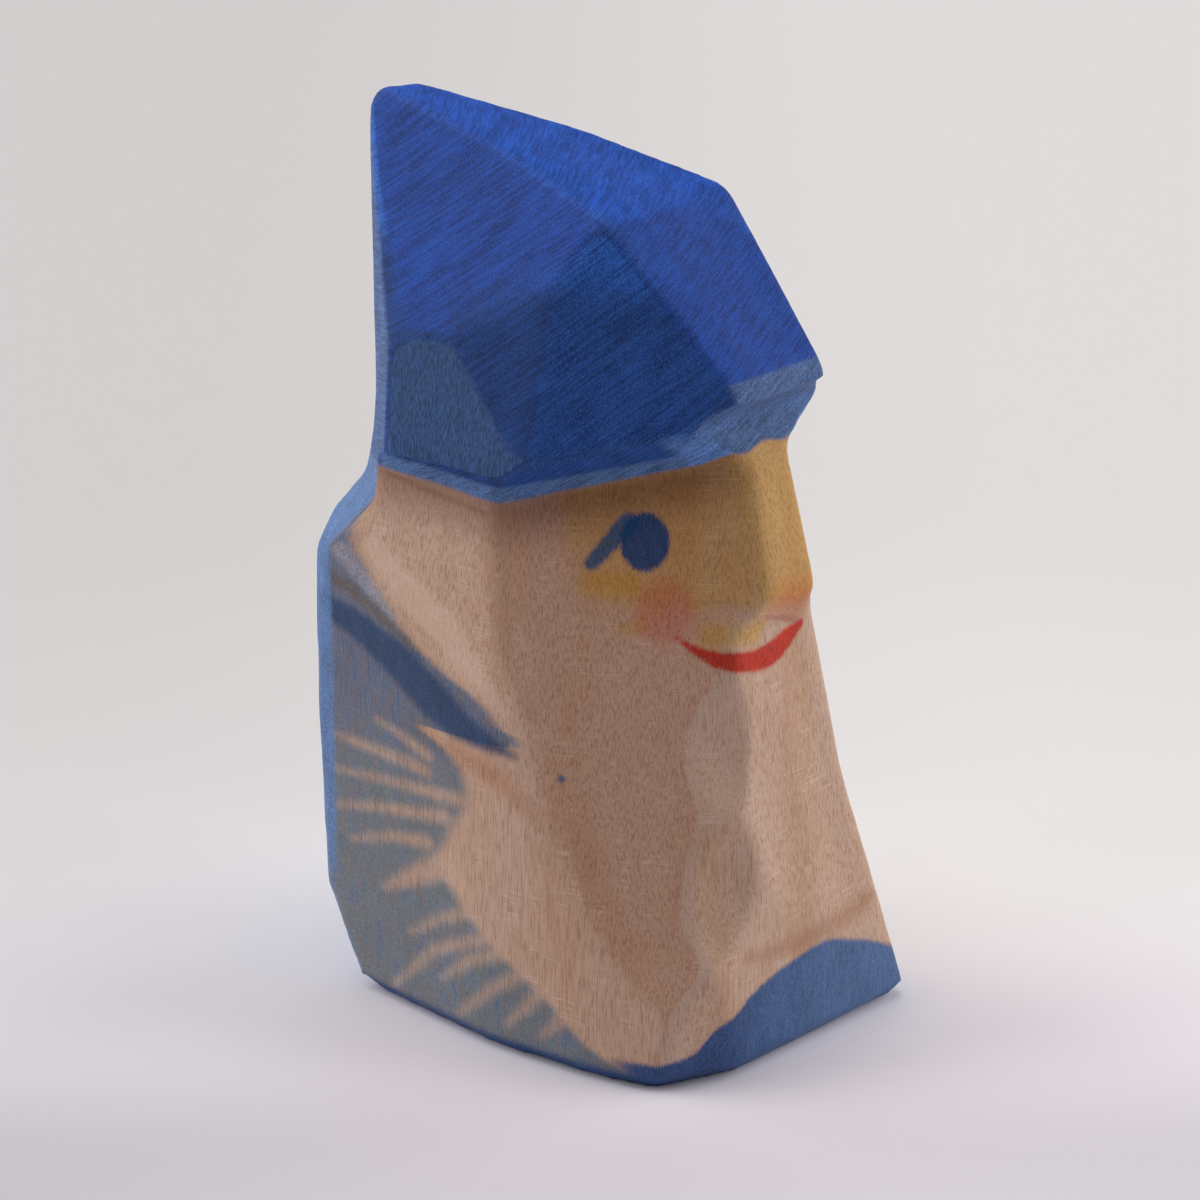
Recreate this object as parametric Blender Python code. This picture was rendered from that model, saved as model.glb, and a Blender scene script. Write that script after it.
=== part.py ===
# Carved wooden gnome, one solid block of maple about 64 mm tall.
# The side outline is sawn from a board.  Flats are then cut down both sides with a knife,
# and hollows with a gouge, each with one cutter for the left and one for the right.
# Metres, +Z up.  The gnome faces -Y.  The origin is the middle of its standing face.

import math

import bmesh
import bpy
from mathutils import Matrix, Vector

# Side outline: distances forward (-Y) or back (+Y) of the origin, and heights above the base
BOARD_THICKNESS = 0.0284
TOE_FORWARD = 0.0150
BEARD_FORWARD = 0.0151
BEARD_HEIGHT = 0.0140
NOSE_FORWARD = 0.0141
NOSE_HEIGHT = 0.0340
BRIDGE_FORWARD = 0.0120
BRIDGE_HEIGHT = 0.0432
BRIDGE_RADIUS = 0.0015
BROW_FORWARD = 0.0102
BROW_HEIGHT = 0.0466
BROW_RADIUS = 0.0017
BRIM_FORWARD = 0.0130
BRIM_HEIGHT = 0.0482
BRIM_TOP_FORWARD = 0.0125
BRIM_TOP_HEIGHT = 0.0495
CROWN_FORWARD = 0.0025
CROWN_HEIGHT = 0.0597
CROWN_RADIUS = 0.0040
RIDGE_BACK = 0.0086
RIDGE_HEIGHT = 0.0622
TIP_BACK = 0.0236
TIP_HEIGHT = 0.0645
TIP_RADIUS = 0.0011
NAPE_BACK = 0.0150
NAPE_HEIGHT = 0.0420
NAPE_RADIUS = 0.0080
SHOULDER_BACK = 0.0204
SHOULDER_HEIGHT = 0.0350
SHOULDER_RADIUS = 0.0010
SEAT_BACK = 0.0197
SEAT_HEIGHT = 0.0072
HEEL_BACK = 0.0155

# Each flat faces so many degrees round from straight ahead, and looks up by its tilt.
# It is set by one point on it: half width, distance forward or back, and height.

# Hat
CROWN_HALF_WIDTH = 0.0066
CROWN_FLAT_FACING = 93.7
CROWN_FLAT_TILT = 31.7
TEMPLE_FLAT_FACING = 62.0
TEMPLE_FLAT_TILT = 16.5
TOP_FLAT_HALF_WIDTH = 0.0033
TOP_FLAT_BACK = 0.0233
TOP_FLAT_HEIGHT = 0.0636
TOP_FLAT_FACING = 57.0
TOP_FLAT_TILT = 80.5
HAT_HALF_WIDTH = 0.0129
HAT_SIDE_FORWARD = 0.0003
HAT_SIDE_HEIGHT = 0.0434
HAT_SIDE_FACING = 83.2
HAT_SIDE_TILT = 17.1
HAT_REAR_BACK = 0.0122
HAT_REAR_FACING = 91.3
HAT_REAR_TILT = 9.4
HAT_BACK_HALF_WIDTH = 0.0113
HAT_BACK_BACK = 0.0080
HAT_BACK_HEIGHT = 0.0520
HAT_BACK_FACING = 102.2
HAT_BACK_TILT = 24.1
HAT_CORNER_HALF_WIDTH = 0.0113
HAT_CORNER_BACK = 0.0134
HAT_CORNER_HEIGHT = 0.0481
HAT_CORNER_FACING = 126.0
HAT_CORNER_TILT = 5.0

# Slopes that the cuts run out on: under the hat's front and rear edges, and on the shoulder
FRONT_EDGE_HALF_WIDTH = 0.0084
FRONT_EDGE_FORWARD = 0.0052
FRONT_EDGE_HEIGHT = 0.0433
FRONT_EDGE_FACING = 44.2
FRONT_EDGE_TILT = -44.6
REAR_EDGE_HEIGHT = 0.0418
REAR_EDGE_FACING = 90.0
REAR_EDGE_TILT = -30.0
SHOULDER_SLOPE_HALF_WIDTH = 0.0122
SHOULDER_SLOPE_BACK = 0.0183
SHOULDER_SLOPE_HEIGHT = 0.0339
SHOULDER_SLOPE_FACING = 124.0
SHOULDER_SLOPE_TILT = 33.0

# Face, hair and beard
CHEEK_HALF_WIDTH = 0.0120
CHEEK_BACK = 0.0024
CHEEK_HEIGHT = 0.0399
CHEEK_FACING = 58.4
CHEEK_TILT = 12.4
HAIR_FRONT_FACING = 82.5
HAIR_REAR_FACING = 90.0
HAIR_TILT = 7.7
NOSE_HALF_WIDTH = 0.0025
NOSE_SIDE_FACING = 52.6
NOSE_SIDE_TILT = 10.8
NOSE_LEDGE_HEIGHT = 0.0326
BEARD_FRONT_FORWARD = 0.0147
BEARD_FRONT_FACING = 6.0
BEARD_FRONT_TILT = 7.4
NOSE_UNDER_TILT = -29.5
RIGHT_BEARD_SIDE_HALF_WIDTH = 0.0082
LEFT_BEARD_SIDE_HALF_WIDTH = 0.0074
BEARD_SIDE_FORWARD = 0.0123
BEARD_SIDE_HEIGHT = 0.0196
BEARD_SIDE_FACING = 48.0
BEARD_SIDE_TILT = 11.0
FLARE_HEIGHT = 0.0100
FLARE_TILT = 17.5

# Jacket
FLANK_FRONT_FACING = 86.0
FLANK_FRONT_BACK = 0.0005
FLANK_REAR_FACING = 97.5
FLANK_REAR_BACK = 0.0022
FLANK_REAR_TILT = -1.0
BACK_CORNER_HALF_WIDTH = 0.0120
BACK_CORNER_BACK = 0.0198
BACK_CORNER_HEIGHT = 0.0320
BACK_CORNER_FACING = 117.0
BACK_CORNER_TILT = 1.2

# Cuts that only the gnome's right side has, low on the jacket and at the toe
HEM_FLAT_HALF_WIDTH = 0.0135
HEM_FLAT_FORWARD = 0.0082
HEM_FLAT_FACING = 75.0
HEM_FLAT_TILT = 2.3
TOE_CORNER_HALF_WIDTH = 0.0124
TOE_CORNER_FORWARD = 0.0123
TOE_CORNER_FACING = 22.0
TOE_CORNER_TILT = -8.0

# Two scallops of a gouge down the right corner of the beard
SCALLOP_RADIUS = 0.0120
SCALLOP_DEPTH = 0.0002
UPPER_SCALLOP_HALF_WIDTH = 0.0061
UPPER_SCALLOP_FORWARD = 0.0125
UPPER_SCALLOP_HEIGHT = 0.0235
UPPER_SCALLOP_FACING = 32.0
LOWER_SCALLOP_HALF_WIDTH = 0.0069
LOWER_SCALLOP_FORWARD = 0.0139
LOWER_SCALLOP_HEIGHT = 0.0136
LOWER_SCALLOP_FACING = 25.0

# Two long shallow flutes down the front of the beard, leaning to the gnome's left
GOUGE_TOP_HEIGHT = 0.0306
FLUTE_HEIGHT = 0.0180
FLUTE_REACH = 0.0590
FLUTE_LEAN = 11.0
RIGHT_FLUTE_OFFSET = 0.0010
RIGHT_FLUTE_RADIUS = 0.0240
LEFT_FLUTE_OFFSET = 0.0042
LEFT_FLUTE_RADIUS = 0.0130
FLUTE_DEPTH = 0.0003

# Steps in each rounded corner of the outline
ARC_STEPS = 6

RIGHT = (-1, "right")
LEFT = (1, "left")
BOTH = (RIGHT, LEFT)

WOOD_COLOUR = (0.62, 0.44, 0.31, 1.0)
WOOD_ROUGHNESS = 0.62


def clear_scene():
    for obj in list(bpy.data.objects):
        bpy.data.objects.remove(obj, do_unlink=True)


def new_collection(name):
    collection = bpy.data.collections.new(name)
    bpy.context.scene.collection.children.link(collection)
    return collection


def wood_material():
    material = bpy.data.materials.new("maple")
    material.use_nodes = True
    shader = material.node_tree.nodes["Principled BSDF"]
    shader.inputs["Base Color"].default_value = WOOD_COLOUR
    shader.inputs["Roughness"].default_value = WOOD_ROUGHNESS
    shader.inputs["Metallic"].default_value = 0.0
    return material


def direction(facing, tilt, side):
    """Unit vector that faces so many degrees round from -Y towards the given side (-1 or 1)."""
    turn = math.radians(facing)
    rise = math.radians(tilt)
    level = math.cos(rise)
    return Vector((side * math.sin(turn) * level, -math.cos(turn) * level, math.sin(rise)))


def rounded(corners):
    """Outline points (y, z) of a polygon whose corners are (y, z, radius)."""
    points = []
    count = len(corners)
    for index in range(count):
        corner = Vector(corners[index][:2])
        radius = corners[index][2]
        if radius == 0.0:
            points.append(corner)
            continue
        before = (Vector(corners[index - 1][:2]) - corner).normalized()
        after = (Vector(corners[(index + 1) % count][:2]) - corner).normalized()
        half = before.angle(after) / 2.0
        reach = radius / math.tan(half)
        centre = corner + (before + after).normalized() * (radius / math.sin(half))
        start = corner + before * reach - centre
        sweep = start.angle_signed(corner + after * reach - centre)
        for step in range(ARC_STEPS + 1):
            turn = Matrix.Rotation(-sweep * step / ARC_STEPS, 2)
            points.append(centre + turn @ start)
    return points


def sawn_outline():
    return rounded([
        (-TOE_FORWARD, 0.0, 0.0),
        (-BEARD_FORWARD, BEARD_HEIGHT, 0.0),
        (-NOSE_FORWARD, NOSE_HEIGHT, 0.0),
        (-BRIDGE_FORWARD, BRIDGE_HEIGHT, BRIDGE_RADIUS),
        (-BROW_FORWARD, BROW_HEIGHT, BROW_RADIUS),
        (-BRIM_FORWARD, BRIM_HEIGHT, 0.0),
        (-BRIM_TOP_FORWARD, BRIM_TOP_HEIGHT, 0.0),
        (-CROWN_FORWARD, CROWN_HEIGHT, CROWN_RADIUS),
        (RIDGE_BACK, RIDGE_HEIGHT, 0.0),
        (TIP_BACK, TIP_HEIGHT, TIP_RADIUS),
        (NAPE_BACK, NAPE_HEIGHT, NAPE_RADIUS),
        (SHOULDER_BACK, SHOULDER_HEIGHT, SHOULDER_RADIUS),
        (SEAT_BACK, SEAT_HEIGHT, 0.0),
        (HEEL_BACK, 0.0, 0.0),
    ])


def sawn_blank(collection):
    """The side outline as a flat curve, as thick as the board, turned to face sideways."""
    curve = bpy.data.curves.new("sawn_outline", "CURVE")
    curve.dimensions = "2D"
    curve.fill_mode = "BOTH"
    curve.extrude = BOARD_THICKNESS / 2.0
    points = sawn_outline()
    spline = curve.splines.new("POLY")
    spline.points.add(len(points) - 1)
    for point, (y, z) in zip(spline.points, points):
        point.co = (y, z, 0.0, 1.0)
    spline.use_cyclic_u = True
    drawn = bpy.data.objects.new("sawn_outline", curve)
    # The curve's X and Y become the gnome's Y and Z
    drawn.matrix_world = Matrix(((0, 0, 1, 0), (1, 0, 0, 0), (0, 1, 0, 0), (0, 0, 0, 1)))
    collection.objects.link(drawn)
    bpy.context.view_layer.update()

    evaluated = drawn.evaluated_get(bpy.context.evaluated_depsgraph_get())
    mesh = bpy.data.meshes.new_from_object(evaluated)
    mesh.transform(drawn.matrix_world)
    bpy.data.objects.remove(drawn)
    bm = bmesh.new()
    bm.from_mesh(mesh)
    bmesh.ops.remove_doubles(bm, verts=bm.verts, dist=0.00001)
    bmesh.ops.dissolve_limit(bm, angle_limit=0.001, verts=bm.verts, edges=bm.edges)
    bmesh.ops.recalc_face_normals(bm, faces=bm.faces)
    bm.to_mesh(mesh)
    bm.free()
    mesh.materials.clear()
    mesh.materials.append(wood_material())
    blank = bpy.data.objects.new("carved_figure", mesh)
    collection.objects.link(blank)
    return blank


def add_cutter(name, bm, collection):
    bmesh.ops.recalc_face_normals(bm, faces=bm.faces)
    mesh = bpy.data.meshes.new(name)
    bm.to_mesh(mesh)
    bm.free()
    cutter = bpy.data.objects.new(name, mesh)
    cutter.display_type = "WIRE"
    cutter.hide_render = True
    collection.objects.link(cutter)
    return cutter


def trim(bm, point, keep):
    """Cuts the closed mesh off flat at a point and keeps the part on the side given."""
    cut = bmesh.ops.bisect_plane(
        bm, geom=bm.verts[:] + bm.edges[:] + bm.faces[:], dist=0.000001, plane_co=point,
        plane_no=keep, clear_inner=True)
    edges = [item for item in cut["geom_cut"] if isinstance(item, bmesh.types.BMEdge)]
    bmesh.ops.edgeloop_fill(bm, edges=edges)


def knife(name, facing, tilt, point, stops, collection, sides=BOTH):
    """A block on each side whose inner face is one flat.  point is (half width, y, z).
    stops are (facing, tilt, point) planes that the block is cut off at, keeping the part
    that each one faces."""
    block = 2.0 * TIP_HEIGHT
    cutters = []
    for side, word in sides:
        outward = direction(facing, tilt, side)
        start = Vector((side * point[0], point[1], point[2]))
        bm = bmesh.new()
        bmesh.ops.create_cube(bm, size=block)
        turn = outward.to_track_quat("Z", "Y").to_matrix().to_4x4()
        place = Matrix.Translation(start + outward * block / 2.0) @ turn
        bmesh.ops.transform(bm, matrix=place, verts=bm.verts)
        for stop_facing, stop_tilt, (half_width, y, z) in stops:
            trim(bm, (side * half_width, y, z), direction(stop_facing, stop_tilt, side))
        cutters.append(add_cutter(name + "_" + word, bm, collection))
    return cutters


def front_edge():
    """The slope under the front half of the hat, which the face is cut back to."""
    return (FRONT_EDGE_FACING, FRONT_EDGE_TILT,
            (FRONT_EDGE_HALF_WIDTH, -FRONT_EDGE_FORWARD, FRONT_EDGE_HEIGHT))


def rear_edge():
    """The slope under the rear half of the hat, which the hair is cut back to."""
    return (REAR_EDGE_FACING, REAR_EDGE_TILT, (HAT_HALF_WIDTH, 0.0, REAR_EDGE_HEIGHT))


def hat_cuts(collection):
    crown = (CROWN_HALF_WIDTH, -CROWN_FORWARD, CROWN_HEIGHT)
    side = (HAT_HALF_WIDTH, -HAT_SIDE_FORWARD, HAT_SIDE_HEIGHT)
    rear = (HAT_HALF_WIDTH, HAT_REAR_BACK, REAR_EDGE_HEIGHT)
    corner = (HAT_CORNER_HALF_WIDTH, HAT_CORNER_BACK, HAT_CORNER_HEIGHT)
    shoulder = (SHOULDER_SLOPE_FACING, SHOULDER_SLOPE_TILT,
                (SHOULDER_SLOPE_HALF_WIDTH, SHOULDER_SLOPE_BACK, SHOULDER_SLOPE_HEIGHT))
    back = (HAT_BACK_HALF_WIDTH, HAT_BACK_BACK, HAT_BACK_HEIGHT)
    top = (TOP_FLAT_HALF_WIDTH, TOP_FLAT_BACK, TOP_FLAT_HEIGHT)
    return (
        knife("crown_flat", CROWN_FLAT_FACING, CROWN_FLAT_TILT, crown, [], collection)
        + knife("hat_back_flat", HAT_BACK_FACING, HAT_BACK_TILT, back, [], collection)
        + knife("temple_flat", TEMPLE_FLAT_FACING, TEMPLE_FLAT_TILT, crown, [], collection)
        + knife("hat_side_flat", HAT_SIDE_FACING, HAT_SIDE_TILT, side, [], collection)
        + knife("hat_rear_flat", HAT_REAR_FACING, HAT_REAR_TILT, rear, [], collection)
        + knife("hat_corner_flat", HAT_CORNER_FACING, HAT_CORNER_TILT, corner, [shoulder],
                collection)
        + knife("top_flat", TOP_FLAT_FACING, TOP_FLAT_TILT, top, [], collection, [LEFT])
    )


def flare():
    """The slope that widens again below the cheek and the beard, down to the hem."""
    out = (CHEEK_HEIGHT - FLARE_HEIGHT) * math.tan(math.radians(CHEEK_TILT))
    turn = math.radians(CHEEK_FACING)
    return (CHEEK_FACING, FLARE_TILT,
            (CHEEK_HALF_WIDTH + out * math.sin(turn), CHEEK_BACK - out * math.cos(turn),
             FLARE_HEIGHT))


def head_cuts(collection):
    cheek = (CHEEK_HALF_WIDTH, CHEEK_BACK, CHEEK_HEIGHT)
    nose = (NOSE_HALF_WIDTH, -NOSE_FORWARD, NOSE_HEIGHT)
    above_ledge = (0.0, 90.0, (0.0, 0.0, NOSE_LEDGE_HEIGHT))
    return (
        knife("cheek_flat", CHEEK_FACING, CHEEK_TILT, cheek, [front_edge(), flare()], collection)
        + knife("hair_front_flat", HAIR_FRONT_FACING, HAIR_TILT, cheek, [rear_edge()], collection)
        + knife("hair_rear_flat", HAIR_REAR_FACING, HAIR_TILT, cheek, [rear_edge()], collection)
        + knife("nose_side_flat", NOSE_SIDE_FACING, NOSE_SIDE_TILT, nose,
                [front_edge(), above_ledge], collection)
    )


def beard_cuts(collection):
    front = (0.0, -BEARD_FRONT_FORWARD, BEARD_HEIGHT)
    right_side = (RIGHT_BEARD_SIDE_HALF_WIDTH, -BEARD_SIDE_FORWARD, BEARD_SIDE_HEIGHT)
    left_side = (LEFT_BEARD_SIDE_HALF_WIDTH, -BEARD_SIDE_FORWARD, BEARD_SIDE_HEIGHT)
    under_nose = (0.0, NOSE_UNDER_TILT, (0.0, -NOSE_FORWARD, NOSE_HEIGHT))
    below_nose = (0.0, -90.0, (0.0, 0.0, (NOSE_LEDGE_HEIGHT + NOSE_HEIGHT) / 2.0))
    return (
        knife("beard_front_flat", BEARD_FRONT_FACING, BEARD_FRONT_TILT, front, [under_nose],
              collection, [LEFT])
        + knife("beard_side_flat", BEARD_SIDE_FACING, BEARD_SIDE_TILT, right_side,
                [below_nose, flare()], collection, [RIGHT])
        + knife("beard_side_flat", BEARD_SIDE_FACING, BEARD_SIDE_TILT, left_side,
                [below_nose, flare()], collection, [LEFT])
    )


def jacket_cuts(collection):
    half_board = BOARD_THICKNESS / 2.0
    front = (half_board, FLANK_FRONT_BACK, 0.0)
    rear = (half_board, FLANK_REAR_BACK, 0.0)
    back_corner = (BACK_CORNER_HALF_WIDTH, BACK_CORNER_BACK, BACK_CORNER_HEIGHT)
    hem = (HEM_FLAT_HALF_WIDTH, -HEM_FLAT_FORWARD, 0.0)
    toe = (TOE_CORNER_HALF_WIDTH, -TOE_CORNER_FORWARD, 0.0)
    below_hat = (0.0, -90.0, (0.0, 0.0, CHEEK_HEIGHT))
    return (
        knife("flank_front_flat", FLANK_FRONT_FACING, 0.0, front, [below_hat], collection)
        + knife("flank_rear_flat", FLANK_REAR_FACING, FLANK_REAR_TILT, rear, [below_hat],
                collection)
        + knife("back_corner_flat", BACK_CORNER_FACING, BACK_CORNER_TILT, back_corner,
                [below_hat], collection)
        + knife("hem_flat", HEM_FLAT_FACING, HEM_FLAT_TILT, hem, [], collection, [RIGHT])
        + knife("toe_corner_flat", TOE_CORNER_FACING, TOE_CORNER_TILT, toe, [], collection,
                [RIGHT])
    )


def gouge(name, place, facing, tilt, depth, radius, reach, lean, collection):
    """An egg-shaped cutter that leaves a rounded hollow, so deep at the place it is set at.
    The hollow faces as a flat does, to the left where its facing is above zero, and runs up
    the figure, turned sideways by its lean.  It is cut off below the nose."""
    outward = direction(facing, tilt, 1)
    centre = Vector(place) + outward * (radius - depth)
    turn = outward.to_track_quat("Z", "Y").to_matrix().to_4x4()
    turn @= Matrix.Rotation(math.radians(lean), 4, "Z")
    size = Matrix.Diagonal((radius, reach, radius, 1.0))
    bm = bmesh.new()
    bmesh.ops.create_uvsphere(bm, u_segments=48, v_segments=32, radius=1.0)
    bmesh.ops.transform(bm, matrix=Matrix.Translation(centre) @ turn @ size, verts=bm.verts)
    trim(bm, (0.0, 0.0, GOUGE_TOP_HEIGHT), (0.0, 0.0, -1.0))
    return add_cutter(name, bm, collection)


def flute(name, offset, radius, collection):
    """A long shallow gouge stroke on the flat front of the beard."""
    rise = (FLUTE_HEIGHT - BEARD_HEIGHT) * math.tan(math.radians(BEARD_FRONT_TILT))
    turn = offset * math.tan(math.radians(BEARD_FRONT_FACING))
    place = (offset, rise + turn - BEARD_FRONT_FORWARD, FLUTE_HEIGHT)
    return gouge(name, place, BEARD_FRONT_FACING, BEARD_FRONT_TILT, FLUTE_DEPTH, radius,
                 FLUTE_REACH, FLUTE_LEAN, collection)


def beard_gouges(collection):
    upper = (-UPPER_SCALLOP_HALF_WIDTH, -UPPER_SCALLOP_FORWARD, UPPER_SCALLOP_HEIGHT)
    lower = (-LOWER_SCALLOP_HALF_WIDTH, -LOWER_SCALLOP_FORWARD, LOWER_SCALLOP_HEIGHT)
    return [
        gouge("upper_scallop", upper, -UPPER_SCALLOP_FACING, BEARD_SIDE_TILT, SCALLOP_DEPTH,
              SCALLOP_RADIUS, SCALLOP_RADIUS, 0.0, collection),
        gouge("lower_scallop", lower, -LOWER_SCALLOP_FACING, BEARD_SIDE_TILT, SCALLOP_DEPTH,
              SCALLOP_RADIUS, SCALLOP_RADIUS, 0.0, collection),
        flute("right_flute", -RIGHT_FLUTE_OFFSET, RIGHT_FLUTE_RADIUS, collection),
        flute("left_flute", LEFT_FLUTE_OFFSET, LEFT_FLUTE_RADIUS, collection),
    ]


def carve(blank, cutters):
    for cutter in cutters:
        cut = blank.modifiers.new(cutter.name, "BOOLEAN")
        cut.operation = "DIFFERENCE"
        cut.solver = "EXACT"
        cut.object = cutter


def main():
    clear_scene()
    figure = new_collection("wooden_gnome")
    tools = new_collection("cutters")
    blank = sawn_blank(figure)
    carve(blank, hat_cuts(tools) + head_cuts(tools) + beard_cuts(tools) + jacket_cuts(tools)
          + beard_gouges(tools))


main()
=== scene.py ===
import math

import bmesh
import bpy
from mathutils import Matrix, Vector


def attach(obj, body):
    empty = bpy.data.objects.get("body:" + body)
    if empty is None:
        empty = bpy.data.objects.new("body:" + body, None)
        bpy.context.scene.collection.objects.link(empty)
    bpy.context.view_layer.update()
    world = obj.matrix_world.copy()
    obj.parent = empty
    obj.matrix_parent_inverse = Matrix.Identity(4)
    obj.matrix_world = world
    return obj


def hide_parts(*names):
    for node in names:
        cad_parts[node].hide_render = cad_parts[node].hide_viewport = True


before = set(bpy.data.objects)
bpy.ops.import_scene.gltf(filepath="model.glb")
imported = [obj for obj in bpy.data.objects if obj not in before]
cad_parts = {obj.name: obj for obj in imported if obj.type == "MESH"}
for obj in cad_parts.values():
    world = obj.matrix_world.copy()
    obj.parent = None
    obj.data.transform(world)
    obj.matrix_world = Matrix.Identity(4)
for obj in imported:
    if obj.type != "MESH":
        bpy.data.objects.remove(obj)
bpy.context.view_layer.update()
print("frame loaded")

perMetre = 1000.0                     # millimetres in a metre
millimetre = 0.001
# level directions in the photo, as parts of x and y
towardsRight = (0.656, -0.755)
awayFromCamera = (0.755, 0.656)


# ---------- view and light

photoView = {
    "turn": 49.0,                     # degrees round from straight in front, to the gnome's right
    "rise": 19.5,                     # degrees above the table
    "distance": 0.350,
    "aim": (-0.0077, -0.0032, 0.0330),
    "lens": 152.25,
    "sensor": 36.0,
    "clipStart": 0.01,
}


def placeCamera(view):
    turn = math.radians(view["turn"])
    rise = math.radians(view["rise"])
    level = math.cos(rise)
    away = Vector((-math.sin(turn) * level, -math.cos(turn) * level, math.sin(rise)))
    data = bpy.data.cameras.new("photoCamera")
    data.lens = view["lens"]
    data.sensor_width = view["sensor"]
    data.clip_start = view["clipStart"]
    camera = bpy.data.objects.new("photoCamera", data)
    camera.location = Vector(view["aim"]) + away * view["distance"]
    camera.rotation_euler = (-away).to_track_quat("-Z", "Y").to_euler()
    bpy.context.scene.collection.objects.link(camera)
    bpy.context.scene.camera = camera


studio = {
    # where each softbox shines from, how many degrees wide it looks, strength, colour
    "softboxes": {
        "leftSoftbox": ((-0.50, 0.80, 0.45), 60.0, 2.25, (1.0, 0.985, 0.97)),
        "rightSoftbox": ((0.70, -0.60, 0.42), 60.0, 2.2, (1.0, 0.985, 0.97)),
        "topSoftbox": ((0.10, 0.30, 1.0), 70.0, 1.3, (0.97, 0.97, 1.0)),
    },
    "roomLight": 0.03,
    "roomColour": (0.97, 0.96, 1.0),
}


def hangLights(values):
    for name, (shinesFrom, width, strength, colour) in values["softboxes"].items():
        data = bpy.data.lights.new(name, "SUN")
        data.energy = strength
        data.angle = math.radians(width)
        data.color = colour
        lamp = bpy.data.objects.new(name, data)
        lamp.rotation_euler = Vector(shinesFrom).to_track_quat("Z", "Y").to_euler()
        bpy.context.scene.collection.objects.link(lamp)
    world = bpy.data.worlds.new("studioRoom")
    world.use_nodes = True
    room = world.node_tree.nodes["Background"]
    room.inputs["Color"].default_value = (*values["roomColour"], 1.0)
    room.inputs["Strength"].default_value = values["roomLight"]
    bpy.context.scene.world = world
    bpy.context.scene.view_settings.view_transform = "Standard"


# ---------- small helpers for building node trees

def feed(tree, socket, value):
    # a number, colour, place or another node's output goes into a socket
    if isinstance(value, bpy.types.NodeSocket):
        tree.links.new(value, socket)
    elif socket.type == "VECTOR" and value is not None:
        socket.default_value = value[:3]
    elif value is not None:
        socket.default_value = value


def calc(tree, operation, first, second=None, third=None, clamp=False):
    node = tree.nodes.new("ShaderNodeMath")
    node.operation = operation
    node.use_clamp = clamp
    for socket, value in zip(node.inputs, (first, second, third)):
        feed(tree, socket, value)
    return node.outputs[0]


def vector(tree, operation, first, second=None, scale=None):
    node = tree.nodes.new("ShaderNodeVectorMath")
    node.operation = operation
    feed(tree, node.inputs[0], first)
    feed(tree, node.inputs[1], second)
    if scale is not None:
        feed(tree, node.inputs["Scale"], scale)
    givesNumber = operation in ("LENGTH", "DOT_PRODUCT")
    return node.outputs["Value" if givesNumber else "Vector"]


def join(tree, x, y, z):
    node = tree.nodes.new("ShaderNodeCombineXYZ")
    for socket, value in zip(node.inputs, (x, y, z)):
        feed(tree, socket, value)
    return node.outputs[0]


def split(tree, value):
    node = tree.nodes.new("ShaderNodeSeparateXYZ")
    tree.links.new(value, node.inputs[0])
    return node.outputs


def photoPlaces(tree, place):
    # width is from the gnome's middle; across is to the right in the photo, alike on both sides
    x, y, z = split(tree, place)
    width = calc(tree, "ABSOLUTE", x)
    across = calc(tree, "ADD", calc(tree, "MULTIPLY", width, -towardsRight[0]),
                  calc(tree, "MULTIPLY", y, towardsRight[1]))
    return x, y, z, width, across


def ramp(tree, value, low, high, toLow=0.0, toHigh=1.0):
    # a smooth step from toLow at low to toHigh at high
    node = tree.nodes.new("ShaderNodeMapRange")
    node.interpolation_type = "SMOOTHSTEP"
    for socket, item in zip(node.inputs, (value, low, high, toLow, toHigh)):
        feed(tree, socket, item)
    return node.outputs[0]


def grainNoise(tree, stretch, detail, rough, turn=(0.0, 0.0, 0.0)):
    coordinate = tree.nodes.new("ShaderNodeTexCoord").outputs["Object"]
    mapping = tree.nodes.new("ShaderNodeMapping")
    mapping.vector_type = "TEXTURE"
    mapping.inputs["Rotation"].default_value = [math.radians(angle) for angle in turn]
    mapping.inputs["Scale"].default_value = [millimetre / features for features in stretch]
    tree.links.new(coordinate, mapping.inputs["Vector"])
    node = tree.nodes.new("ShaderNodeTexNoise")
    node.inputs["Scale"].default_value = 1.0
    node.inputs["Detail"].default_value = detail
    node.inputs["Roughness"].default_value = rough
    tree.links.new(mapping.outputs[0], node.inputs["Vector"])
    return node.outputs[0]


def dimmed(tree, colour, amount):
    # a colour made lighter or darker
    node = tree.nodes.new("ShaderNodeHueSaturation")
    feed(tree, node.inputs["Value"], amount)
    feed(tree, node.inputs["Color"], colour)
    return node.outputs[0]


def mixColour(tree, amount, base, top, blend="MIX"):
    node = tree.nodes.new("ShaderNodeMix")
    node.data_type = "RGBA"
    node.blend_type = blend
    node.clamp_factor = True
    feed(tree, node.inputs[0], amount)
    feed(tree, node.inputs[6], base)      # inputs 6 and 7 and output 2 are the colour ones
    feed(tree, node.inputs[7], top)
    return node.outputs[2]


def stain(red, green, blue):
    # a colour as a paint box lists it, 0 to 255, turned into the renderer's own by the sRGB curve
    parts = (((part / 255.0 + 0.055) / 1.055) ** 2.4 if part > 10 else part / 3294.6
             for part in (red, green, blue))
    return (*parts, 1.0)


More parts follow.
